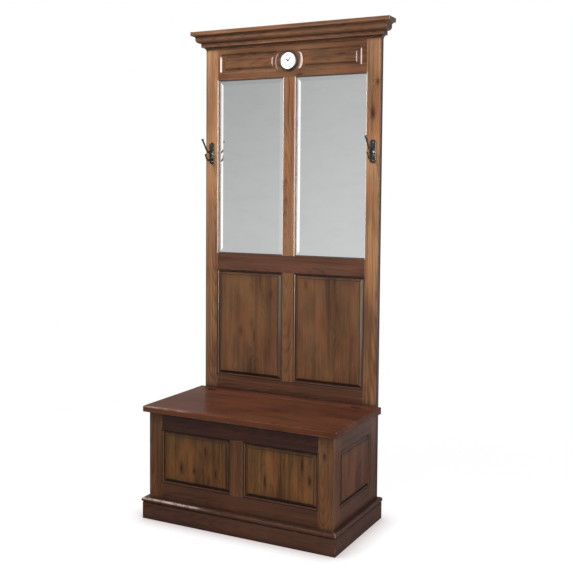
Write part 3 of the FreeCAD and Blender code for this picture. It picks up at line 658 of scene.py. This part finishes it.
def dial_card():
    """White enamelled dial, very slightly yellowed towards its black rim."""
    shader = Shader("dial_card")
    low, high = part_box("clock_dial")
    middle = (low + high) / 2
    parts = shader.split(shader.place)
    from_middle = shader.length(shader.minus(parts[0], middle.x),
                                shader.minus(parts[2], middle.z))
    radius = shader.math("DIVIDE", from_middle, (high.x - low.x) / 2)
    fibre = shader.noise(shader.place, 1500.0, 3.0)[0]
    colour = shader.mix(shader.fade(radius, 0.75, 1.0), DIAL_MIDDLE, DIAL_EDGE)
    colour = shader.mix(shader.fade(fibre, 0.4, 0.8, 0.0, 0.12), colour, DIAL_FIBRE)
    colour = shader.mix(shader.fade(radius, DIAL_RING, DIAL_RING + 0.02), colour, DIAL_BLACK)
    shader.bump(fibre, 0.00005, 0.3)
    return shader.finish(colour, shader.fade(fibre, 0.3, 0.7, 0.28, 0.36))


def clear_glass():
    """Thin clock glass: seen straight through, with reflections that grow at a glancing angle."""
    shader = Shader("clear_glass")
    smear = shader.noise(shader.place, 120.0, 4.0)[0]
    clear = shader.add("ShaderNodeBsdfTransparent", Color=(0.97, 0.98, 0.975))
    shine = shader.add("ShaderNodeBsdfGlossy", Roughness=shader.fade(smear, 0.4, 0.8, 0.03, 0.09))
    rim = shader.add("ShaderNodeFresnel", IOR=1.5).outputs[0]
    inside = shader.add("ShaderNodeNewGeometry").outputs["Backfacing"]
    pane = shader.add("ShaderNodeMixShader")
    shader.feed(pane.inputs[0], shader.times(rim, shader.minus(1.0, inside)))
    shader.feed(pane.inputs[1], clear.outputs[0])
    shader.feed(pane.inputs[2], shine.outputs[0])
    output = shader.tree.nodes["Material Output"]
    shader.feed(output.inputs["Surface"], pane.outputs[0])
    shader.tree.nodes.remove(shader.surface)
    return shader.material


IRON = ((0.030, 0.027, 0.022), (0.20, 0.18, 0.14))          # patina, rubbed edges
BRONZE = ((0.026, 0.018, 0.012), (0.20, 0.13, 0.08))
STEEL = ((0.35, 0.33, 0.30), (0.7, 0.7, 0.7))
LACQUER = (0.010, 0.009, 0.009)
CASE_PLASTIC = (0.018, 0.018, 0.019)
RUBBER = (0.030, 0.028, 0.026)
HANDS = (0.02, 0.02, 0.022)
INK = (0.05, 0.05, 0.055)


# --- which finish each CAD piece has ---
# colours of the palest and the darkest wood of a finish
UPPER = ((0.246, 0.126, 0.061), (0.087, 0.039, 0.020))      # tall frame, paler
MULLION = ((0.222, 0.108, 0.055), (0.080, 0.034, 0.018))
LOWER = ((0.130, 0.058, 0.025), (0.047, 0.020, 0.010))      # bench frame
MUNTIN = ((0.104, 0.046, 0.021), (0.038, 0.016, 0.008))
SIDE_POST = ((0.102, 0.041, 0.022), (0.037, 0.015, 0.009))
PANEL = ((0.132, 0.060, 0.022), (0.042, 0.019, 0.008))      # golden panels
SIDE_PANEL = ((0.116, 0.042, 0.020), (0.037, 0.014, 0.008))
BACK_PANEL = ((0.116, 0.053, 0.024), (0.039, 0.019, 0.010))
BACK_MULLION = ((0.142, 0.065, 0.028), (0.050, 0.022, 0.011))
SEAT = ((0.090, 0.032, 0.017), (0.034, 0.012, 0.008))       # redder
CROWN = ((0.148, 0.070, 0.036), (0.050, 0.023, 0.013))
# painted shade: the crown's returns, a darker copy of the crown's stain
CROWN_SIDE = ((0.062, 0.028, 0.016), (0.022, 0.010, 0.007))
HEADER = ((0.105, 0.048, 0.024), (0.037, 0.016, 0.008))
DARK_RAIL = ((0.086, 0.037, 0.022), (0.033, 0.014, 0.009))
LOW_RAIL = ((0.068, 0.028, 0.016), (0.026, 0.011, 0.007))
SHADED_RAIL = ((0.050, 0.019, 0.013), (0.020, 0.008, 0.006))
PLINTH = ((0.068, 0.029, 0.018), (0.026, 0.011, 0.008))
RAW_PINE = ((0.55, 0.36, 0.18), (0.38, 0.21, 0.09))
PLYWOOD = ((0.52, 0.37, 0.21), (0.36, 0.23, 0.12))

# knots: (x or y, z, length, width)
RIGHT_STILE_KNOTS = [(0.374, 1.640, 0.030, 0.012), (0.392, 1.760, 0.014, 0.008)]
FRONT_STILE_KNOTS = [(0.371, 0.356, 0.014, 0.006)]
LEFT_FRONT_KNOTS = [(-0.143, 0.305, 0.030, 0.0062), (-0.254, 0.222, 0.024, 0.0100),
                    (-0.194, 0.220, 0.015, 0.0065), (-0.094, 0.221, 0.022, 0.0050)]
RIGHT_FRONT_KNOTS = [(0.279, 0.312, 0.030, 0.0066), (0.123, 0.228, 0.030, 0.0072),
                     (0.310, 0.259, 0.019, 0.0080)]
LEFT_BACK_KNOTS = [(-0.229, 0.719, 0.026, 0.013), (-0.162, 0.700, 0.034, 0.006),
                   (-0.083, 0.886, 0.020, 0.010), (-0.134, 0.940, 0.044, 0.006),
                   (-0.174, 0.756, 0.018, 0.006)]
RIGHT_BACK_KNOTS = [(0.226, 0.844, 0.044, 0.006), (0.083, 0.934, 0.018, 0.009)]
HEADER_KNOTS = [(0.231, 1.880, 0.030, 0.0050), (-0.244, 1.845, 0.018, 0.0045),
                (0.048, 1.807, 0.016, 0.0045)]

PANEL_FINISH = {"margin": PANEL_MARGIN, "figure": 1.1, "contrast": 0.75}
SEAT_FINISH = {"relief": 0.00001, "contrast": 0.55, "figure": 0.9, "gloss": 0.30, "pores": 0.1,
               "shine": 0.35}

BACK_PANELS = ("left_back_panel", "right_back_panel")
FRONT_PANELS = ("front_left_panel", "front_right_panel")
ROUND_BACK = {"panels": BACK_PANELS}
ROUND_FRONT = {"panels": FRONT_PANELS}
ROUND_LEFT = {"panels": ("left_side_panel",)}
ROUND_RIGHT = {"panels": ("right_side_panel",)}
LEFT_LIPS = mirror_lips("left_mirror")
RIGHT_LIPS = mirror_lips("right_mirror")
BACK_BOARDS = 0.11          # width of the boards that a panel or the lid is glued from
FRONT_BOARDS = 0.13
SIDE_BOARDS = 0.10
LID_BOARDS = 0.096

# piece: grain, face, colours, and what differs from the usual Finish
STAINED = {
    "left_stile": ("z", "y", UPPER, {
        "aged_foot": 0.55, "lips": LEFT_LIPS[:1], "panels": BACK_PANELS,
        "dark_side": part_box("left_stile")[0].x}),
    "right_stile": ("z", "y", UPPER, {
        "knots": RIGHT_STILE_KNOTS, "aged_foot": 0.55, "figure": 1.0, "lips": RIGHT_LIPS[1:],
        "panels": BACK_PANELS, "dark_side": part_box("right_stile")[1].x}),
    "mirror_mullion": ("z", "y", MULLION, {"lips": LEFT_LIPS[1:] + RIGHT_LIPS[:1]}),
    "header_rail": ("x", "y", HEADER, {
        "knots": HEADER_KNOTS, "rubbed": 0.45, "figure": 1.0, "worn_grooves": True}),
    "mid_rail": ("x", "y", DARK_RAIL, ROUND_BACK),
    "panel_mullion": ("z", "y", BACK_MULLION, ROUND_BACK),
    "back_bottom_rail": ("x", "y", DARK_RAIL, ROUND_BACK),
    "left_back_panel": ("z", "y", BACK_PANEL, {
        "knots": LEFT_BACK_KNOTS, "width": BACK_BOARDS, "knot_depth": 0.55, **PANEL_FINISH}),
    "right_back_panel": ("z", "y", BACK_PANEL, {
        "knots": RIGHT_BACK_KNOTS, "width": BACK_BOARDS, "knot_depth": 0.55, **PANEL_FINISH}),
    "crown_cap": ("x", "z", CROWN, {"rubbed": 0.7}),
    "crown_front": ("x", "y", CROWN, {"rubbed": 0.7}),
    "crown_returns": ("y", "x", CROWN_SIDE, {}),
    "neck_moulding": ("x", "y", HEADER, {}),
    "front_left_stile": ("z", "y", LOWER, ROUND_FRONT),
    "front_right_stile": ("z", "y", LOWER, {"knots": FRONT_STILE_KNOTS, **ROUND_FRONT}),
    "front_top_rail": ("x", "y", SHADED_RAIL, ROUND_FRONT),
    "front_bottom_rail": ("x", "y", LOW_RAIL, ROUND_FRONT),
    "front_muntin": ("z", "y", MUNTIN, ROUND_FRONT),
    "front_left_panel": ("z", "y", PANEL, {
        "knots": LEFT_FRONT_KNOTS, "width": FRONT_BOARDS, **PANEL_FINISH}),
    "front_right_panel": ("z", "y", PANEL, {
        "knots": RIGHT_FRONT_KNOTS, "width": FRONT_BOARDS, **PANEL_FINISH}),
    "left_side_stiles": ("z", "x", SIDE_POST, ROUND_LEFT),
    "right_side_stiles": ("z", "x", SIDE_POST, ROUND_RIGHT),
    "left_side_rails": ("y", "x", DARK_RAIL, ROUND_LEFT),
    "right_side_rails": ("y", "x", DARK_RAIL, ROUND_RIGHT),
    "left_side_panel": ("z", "x", SIDE_PANEL, {"width": SIDE_BOARDS, **PANEL_FINISH}),
    "right_side_panel": ("z", "x", SIDE_PANEL, {"width": SIDE_BOARDS, **PANEL_FINISH}),
    "hinge_rail": ("x", "z", SEAT, {**SEAT_FINISH, "rubbed": 0.6}),
    "lid_board": ("x", "z", SEAT, {
        **SEAT_FINISH, "width": LID_BOARDS, "rubbed": 1.0, "worn_front": (-0.44, -0.16, 0.22)}),
    "plinth_front": ("x", "y", PLINTH, {}),
    "plinth_sides": ("y", "x", PLINTH, {}),
    "plinth_cap": ("x", "y", PLINTH, {"rubbed": 1.2, "worn_front": (-0.44, -0.10, 0.62)}),
}
# piece: grain, face, colours, and whether it shows layers
RAW = {
    "rear_base_rail": ("x", "y", RAW_PINE, False),
    "bench_back_panel": ("z", "y", PLYWOOD, True),
    "mirror_backings": ("z", "y", PLYWOOD, True),
    "mirror_stops": ("z", "y", RAW_PINE, False),
    "bottom_board": ("x", "z", PLYWOOD, True),
    "bottom_cleats": ("y", "x", RAW_PINE, False),
    "lid_battens": ("y", "z", RAW_PINE, False),
}


def dress(material, *names):
    """Give CAD pieces their finished material."""
    for name in names:
        slots = nodes[name].data.materials
        slots.clear()
        slots.append(material)


def dress_wood():
    for node, (grain, face, (pale, dark), more) in STAINED.items():
        dress(StainedWood(node, grain, face, Finish(**more)).material(pale, dark), node)
    for node, (grain, face, (pale, dark), layers) in RAW.items():
        dress(raw_wood(node, grain, face, pale, dark, layers), node)


def dress_the_rest():
    """Mirrors, metal, plastic and glass; returns the two materials that new pieces share."""
    dress(silvered_glass(), "left_mirror", "right_mirror")
    iron = patinated_metal("dark_iron", IRON, 0.42, 1400.0)
    dress(iron, "hook_screws")
    dress(moulded("black_lacquer", LACQUER, 0.45), "clock_bezel")
    dress(patinated_metal("hinge_bronze", BRONZE, 0.48, 1100.0, edge_wear=0.4),
          "hinge_fixed_leaves", "hinge_moving_leaves", "hinge_pins", "hinge_fixed_screws",
          "hinge_moving_screws")
    dress(moulded("clock_case_plastic", CASE_PLASTIC, 0.42),
          "clock_housing", "clock_movement", "battery_door", "setting_knob")
    dress(moulded("soft_rubber", RUBBER, 0.72, 500.0), "clock_gasket", "lid_bumpers")
    dress(patinated_metal("battery_steel", STEEL, 0.30, 900.0), "clock_battery")
    dress(dial_card(), "clock_dial")
    dress(clear_glass(), "clock_lens")
    dress(moulded("black_hands", HANDS, 0.35), "hour_hand", "minute_hand")
    return iron, moulded("grey_print", INK, 0.6)


# --- pieces made here ---
def new_piece(name, mesh, body, material):
    """A piece made here, which rides on a body and wears the given material."""
    piece = bpy.data.objects.new(name, mesh)
    bpy.context.scene.collection.objects.link(piece)
    mesh.materials.append(material)
    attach(piece, body)
    return piece


# lengths as shares of the dial's radius, then half widths in metres
HOUR_MARK = (0.80, 0.00055)
MINUTE_MARK = (0.855, 0.00022)
MARK_END = 0.885
NUMBER_PLACE = 0.65
NUMBER_SIZE = 0.0088
INK_LIFT = 0.00006          # outer face of the print in front of the dial
INK_THICK = 0.00005


def add_marks(shape, centre, radius):
    """Sixty minute marks, every fifth longer and wider."""
    outer = radius * MARK_END
    for minute in range(60):
        start, half = HOUR_MARK if minute % 5 == 0 else MINUTE_MARK
        inner = radius * start
        turn = Matrix.Rotation(math.radians(6 * minute), 3, "Y")
        corners = [(-half, inner), (half, inner), (half, outer), (-half, outer)]
        points = [centre + turn @ Vector((across, 0, up)) for across, up in corners]
        shape.faces.new([shape.verts.new((p.x, centre.y, p.z)) for p in points])


def add_numbers(shape, centre, radius):
    """Upright plain numbers, 1 to 12."""
    for hour in range(1, 13):
        text = bpy.data.curves.new("number", "FONT")
        text.body = str(hour)
        text.size = NUMBER_SIZE
        text.align_x = "CENTER"
        text.align_y = "CENTER"
        text.resolution_u = 4
        holder = bpy.data.objects.new("number", text)
        mesh = bpy.data.meshes.new_from_object(holder)
        angle = math.radians(30 * hour)
        out = radius * NUMBER_PLACE
        place = centre + Vector((out * math.sin(angle), 0, out * math.cos(angle)))
        mesh.transform(Matrix.Translation(place) @ Matrix.Rotation(math.radians(90), 4, "X"))
        shape.from_mesh(mesh)
        bpy.data.objects.remove(holder)
        bpy.data.meshes.remove(mesh)


def print_dial(ink):
    """Minute marks and plain numbers printed on the clock's dial, as a thin raised layer."""
    low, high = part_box("clock_dial")
    centre = Vector(((low.x + high.x) / 2, low.y - INK_LIFT, (low.z + high.z) / 2))
    radius = (high.x - low.x) / 2
    shape = bmesh.new()
    add_marks(shape, centre, radius)
    add_numbers(shape, centre, radius)
    bmesh.ops.solidify(shape, geom=shape.faces[:], thickness=-INK_THICK)
    mesh = bpy.data.meshes.new("dial_print")
    shape.to_mesh(mesh)
    shape.free()
    new_piece("dial_print", mesh, "clock", ink)


# an arm's points: (out from the wall, up from the screws, radius)
UPPER_ARM = [(0.001, 0.006, 0.0072), (0.010, 0.004, 0.0056), (0.020, 0.003, 0.0048),
             (0.031, 0.0055, 0.0043), (0.042, 0.012, 0.0041), (0.052, 0.0235, 0.0040),
             (0.061, 0.036, 0.0039), (0.070, 0.046, 0.0040), (0.0755, 0.0545, 0.0042)]
LOWER_ARM = [(0.001, -0.014, 0.0068), (0.009, -0.022, 0.0054), (0.018, -0.029, 0.0046),
             (0.028, -0.031, 0.0042), (0.037, -0.0295, 0.0040), (0.044, -0.023, 0.0039),
             (0.0485, -0.015, 0.0039), (0.050, -0.009, 0.0040)]
BALLS_BETWEEN = 6           # balls from one point of an arm to the next
HOOK_TIP = 0.0058
BOSS_PLACE = Vector((0, -0.002, -0.003))        # the lump that both arms grow from
BOSS = 0.0105
PLATE_HALF_HIGH = 0.046
PLATE_HALF_WIDE = 0.0128
PLATE_THICK = 0.0036
PLATE_CORNERS = 48
# rings from the wall to the sunk face: (in from the outline, share of the thickness)
PLATE_RINGS = [(0.0, 0.0), (0.0, 0.6), (0.0012, 1.0), (0.0035, 1.0), (0.0042, 0.82)]
CASTING_GRAIN = 0.0007      # size of the cubes that fuse a casting


def ball(shape, centre, radius, squash=1.0):
    """A ball, flattened front to back by squash."""
    grow = Matrix.Diagonal((radius, radius * squash, radius, 1.0))
    bmesh.ops.create_icosphere(shape, subdivisions=3, radius=1.0,
                               matrix=Matrix.Translation(centre) @ grow)


def arm(shape, origin, route):
    """A chain of overlapping balls along a smooth route, to be fused into one casting."""
    for (out0, up0, r0), (out1, up1, r1) in zip(route, route[1:]):
        for step in range(BALLS_BETWEEN):
            t = step / BALLS_BETWEEN
            centre = origin + Vector((0, -(out0 + (out1 - out0) * t), up0 + (up1 - up0) * t))
            ball(shape, centre, r0 + (r1 - r0) * t)
    out, up, _ = route[-1]
    ball(shape, origin + Vector((0, -out, up)), HOOK_TIP)


def hook_plate(shape, origin):
    """The back plate with round ends, its face a little sunk inside a soft rim."""
    straight = PLATE_HALF_HIGH - PLATE_HALF_WIDE
    outline = []
    for corner in range(PLATE_CORNERS):
        angle = math.radians(corner * 360 / PLATE_CORNERS)
        end = straight if math.sin(angle) >= 0 else -straight
        outline.append((math.cos(angle), math.sin(angle), end))
    rings = []
    for inset, share in PLATE_RINGS:
        reach = PLATE_HALF_WIDE - inset
        rings.append([shape.verts.new(origin + Vector((reach * across, -share * PLATE_THICK,
                                                       end + reach * up)))
                      for across, up, end in outline])
    for first, second in zip(rings, rings[1:]):
        for index in range(len(outline)):
            after = (index + 1) % len(outline)
            shape.faces.new((first[index], first[after], second[after], second[index]))
    shape.faces.new(rings[-1])
    shape.faces.new(list(reversed(rings[0])))


def cast_hook(side, iron):
    """One double coat hook as a single soft-edged casting."""
    low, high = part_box(side + "_hook")
    screws_low, screws_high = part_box("hook_screws")
    origin = Vector(((low.x + high.x) / 2, high.y, (screws_low.z + screws_high.z) / 2))
    shape = bmesh.new()
    hook_plate(shape, origin)
    ball(shape, origin + BOSS_PLACE, BOSS, 0.9)
    arm(shape, origin, UPPER_ARM)
    arm(shape, origin, LOWER_ARM)
    mesh = bpy.data.meshes.new("hook_casting")
    shape.to_mesh(mesh)
    shape.free()
    name = side + "_hook_casting"
    piece = bpy.data.objects.new(name, mesh)
    bpy.context.scene.collection.objects.link(piece)
    skin = piece.modifiers.new("fuse", "REMESH")
    skin.mode = "VOXEL"
    skin.voxel_size = CASTING_GRAIN
    soften = piece.modifiers.new("soften", "SMOOTH")
    soften.factor = 0.5
    soften.iterations = 6
    graph = bpy.context.evaluated_depsgraph_get()
    fused = bpy.data.meshes.new_from_object(piece.evaluated_get(graph))
    bpy.data.objects.remove(piece)
    for polygon in fused.polygons:
        polygon.use_smooth = True
    fused.materials.clear()
    casting = new_piece(name, fused, "case", iron)
    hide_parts(side + "_hook")


# --- studio ---
def make_camera():
    data = bpy.data.cameras.new("camera")
    data.lens = LENS
    data.sensor_width = SENSOR
    data.shift_y = SHIFT_UP
    camera = bpy.data.objects.new("camera", data)
    forward = Vector((-math.sin(CAMERA_TURN) * math.cos(CAMERA_TILT),
                      math.cos(CAMERA_TURN) * math.cos(CAMERA_TILT), math.sin(CAMERA_TILT)))
    right = Vector((math.cos(CAMERA_TURN), math.sin(CAMERA_TURN), 0.0))
    up = right.cross(forward)
    rolled = right * math.cos(CAMERA_ROLL) + up * math.sin(CAMERA_ROLL)
    up = up * math.cos(CAMERA_ROLL) - right * math.sin(CAMERA_ROLL)
    turn = Matrix((rolled, up, -forward)).transposed().to_4x4()
    camera.matrix_world = Matrix.Translation(CAMERA_PLACE) @ turn
    bpy.context.scene.collection.objects.link(camera)
    bpy.context.scene.camera = camera


FLOOR_RADIUS = 4.5
FLOOR_FADE = (1.0, 2.4)     # it fades out between these distances from the middle
FLOOR_DROP = 0.0005         # keeps it just clear of the object's underside
FLOOR_COLOUR = (0.07, 0.067, 0.066)
CONTACT_SHADE = (0.42, 0.34, 0.33)


def make_floor():
    """A pale round floor that fades into the white surroundings."""
    shape = bmesh.new()
    bmesh.ops.create_circle(shape, cap_ends=True, segments=96, radius=FLOOR_RADIUS)
    mesh = bpy.data.meshes.new("floor")
    shape.to_mesh(mesh)
    shape.free()
    floor = bpy.data.objects.new("floor", mesh)
    floor.location.z = -FLOOR_DROP
    bpy.context.scene.collection.objects.link(floor)
    shader = Shader("pale_floor")
    parts = shader.split(shader.place)
    reach = shader.length(parts[0], parts[1])
    shader.feed(shader.surface.inputs["Alpha"], shader.fade(reach, *FLOOR_FADE, 1.0, 0.0))
    # painted contact shadow: the floor's glow dims where the object stands close to it
    contact = shader.fade(shader.openness(0.10), 0.35, 0.98)
    glow = shader.mix(contact, CONTACT_SHADE, (1.0, 1.0, 1.0))
    seen = shader.add("ShaderNodeLightPath").outputs["Is Camera Ray"]
    shader.feed(shader.surface.inputs["Emission Color"], glow)
    shader.feed(shader.surface.inputs["Emission Strength"], shader.fade(seen, 0.0, 1.0, 0.12, 0.92))
    mesh.materials.append(shader.finish(FLOOR_COLOUR, 0.8))


def light(name, place, target, width, height, power, lights_up=True, glints=True):
    """A soft box that lights matt surfaces up, leaves glints in varnish, or both."""
    data = bpy.data.lights.new(name, "AREA")
    data.shape = "RECTANGLE"
    data.size = width
    data.size_y = height
    data.energy = power
    lamp = bpy.data.objects.new(name, data)
    lamp.location = place
    lamp.rotation_mode = "QUATERNION"
    lamp.rotation_quaternion = (Vector(target) - Vector(place)).to_track_quat("-Z", "Y")
    lamp.visible_camera = False
    lamp.visible_diffuse = lights_up
    lamp.visible_glossy = glints
    bpy.context.scene.collection.objects.link(lamp)
    return lamp


MATT_FILL = 0.32            # how much of the surroundings lights matt surfaces
WALL_LOW = 0.63             # brightness of the grey wall, below and above the horizon
WALL_HIGH = 0.455
# bearings in degrees, from straight in front (-Y) towards -X
WALL_TURN = (22.0, 32.0)    # here the wall gets a little darker
BAND_START = (35.0, 37.5)   # the bright band that the left bevels show
BAND_END = (45.0, 48.0)
BAND_GLOW = 0.65


def make_world():
    """White surroundings with a grey wall in front, which the mirrors show."""
    world = bpy.data.worlds.new("studio")
    bpy.context.scene.world = world
    world.use_nodes = True
    tree = world.node_tree
    add = tree.nodes.new
    link = tree.links.new

    def calc(operation, a, b=0.0):
        node = add("ShaderNodeMath")
        node.operation = operation
        for socket, value in zip(node.inputs, (a, b)):
            if isinstance(value, bpy.types.NodeSocket):
                link(value, socket)
            else:
                socket.default_value = value
        return node.outputs[0]

    def fade(value, start, end, low, high):
        node = add("ShaderNodeMapRange")
        node.interpolation_type = "SMOOTHSTEP"
        link(value, node.inputs["Value"])
        limits = {"From Min": start, "From Max": end, "To Min": low, "To Max": high}
        for name, number in limits.items():
            node.inputs[name].default_value = number
        return node.outputs[0]

    split = add("ShaderNodeSeparateXYZ")
    link(add("ShaderNodeTexCoord").outputs["Generated"], split.inputs[0])
    x, y, z = split.outputs
    bearing = calc("ARCTAN2", calc("MULTIPLY", x, -1.0), calc("MULTIPLY", y, -1.0))
    bearing = calc("MULTIPLY", bearing, 180 / math.pi)
    grey = fade(z, -0.10, 0.20, WALL_LOW, WALL_HIGH)
    grey = calc("ADD", grey, fade(bearing, *WALL_TURN, 0.05, -0.05))
    band = calc("MULTIPLY", fade(bearing, *BAND_START, 0.0, 1.0), fade(bearing, *BAND_END, 1.0, 0.0))
    level = calc("ADD", grey, calc("MULTIPLY", band, BAND_GLOW))
    path = add("ShaderNodeLightPath")
    level = calc("MULTIPLY", level, fade(path.outputs["Is Diffuse Ray"], 0.0, 1.0, 1.0, MATT_FILL))
    seen = path.outputs["Is Camera Ray"]
    level = calc("ADD", calc("MULTIPLY", level, calc("SUBTRACT", 1.0, seen)), seen)
    background = tree.nodes["Background"]
    link(level, background.inputs["Strength"])
    background.inputs["Color"].default_value = (1.0, 1.0, 1.0, 1.0)


def make_studio():
    """Floor, surroundings and lights; the front and glint lights are kept out of the mirrors."""
    make_floor()
    make_world()
    light("key", (-0.95, -1.20, 3.00), (0.0, 0.1, 1.3), 0.9, 0.9, 104.0, glints=False)
    light("side", (2.3, -1.1, 1.3), (0.0, 0.0, 1.0), 0.5, 2.0, 46.0, glints=False)
    front = light("front", (1.5, -2.8, 0.7), (0.0, 0.0, 0.4), 1.2, 1.1, 38.0)
    glint = light("glint", (2.3, -1.2, 1.6), (0.0, 0.0, 1.3), 1.1, 2.4, 420.0, lights_up=False)
    kept_out = bpy.data.collections.new("not_in_the_mirrors")
    for name in ("left_mirror", "right_mirror"):
        kept_out.objects.link(nodes[name])
    for entry in kept_out.collection_objects:
        entry.light_linking.link_state = "EXCLUDE"
    for lamp in (front, glint):
        lamp.light_linking.receiver_collection = kept_out
    scene = bpy.context.scene
    scene.view_settings.view_transform = "Standard"
    scene.view_settings.look = "None"


dress_wood()
dark_iron, ink = dress_the_rest()
print_dial(ink)
for side in ("left", "right"):
    cast_hook(side, dark_iron)
make_studio()
make_camera()
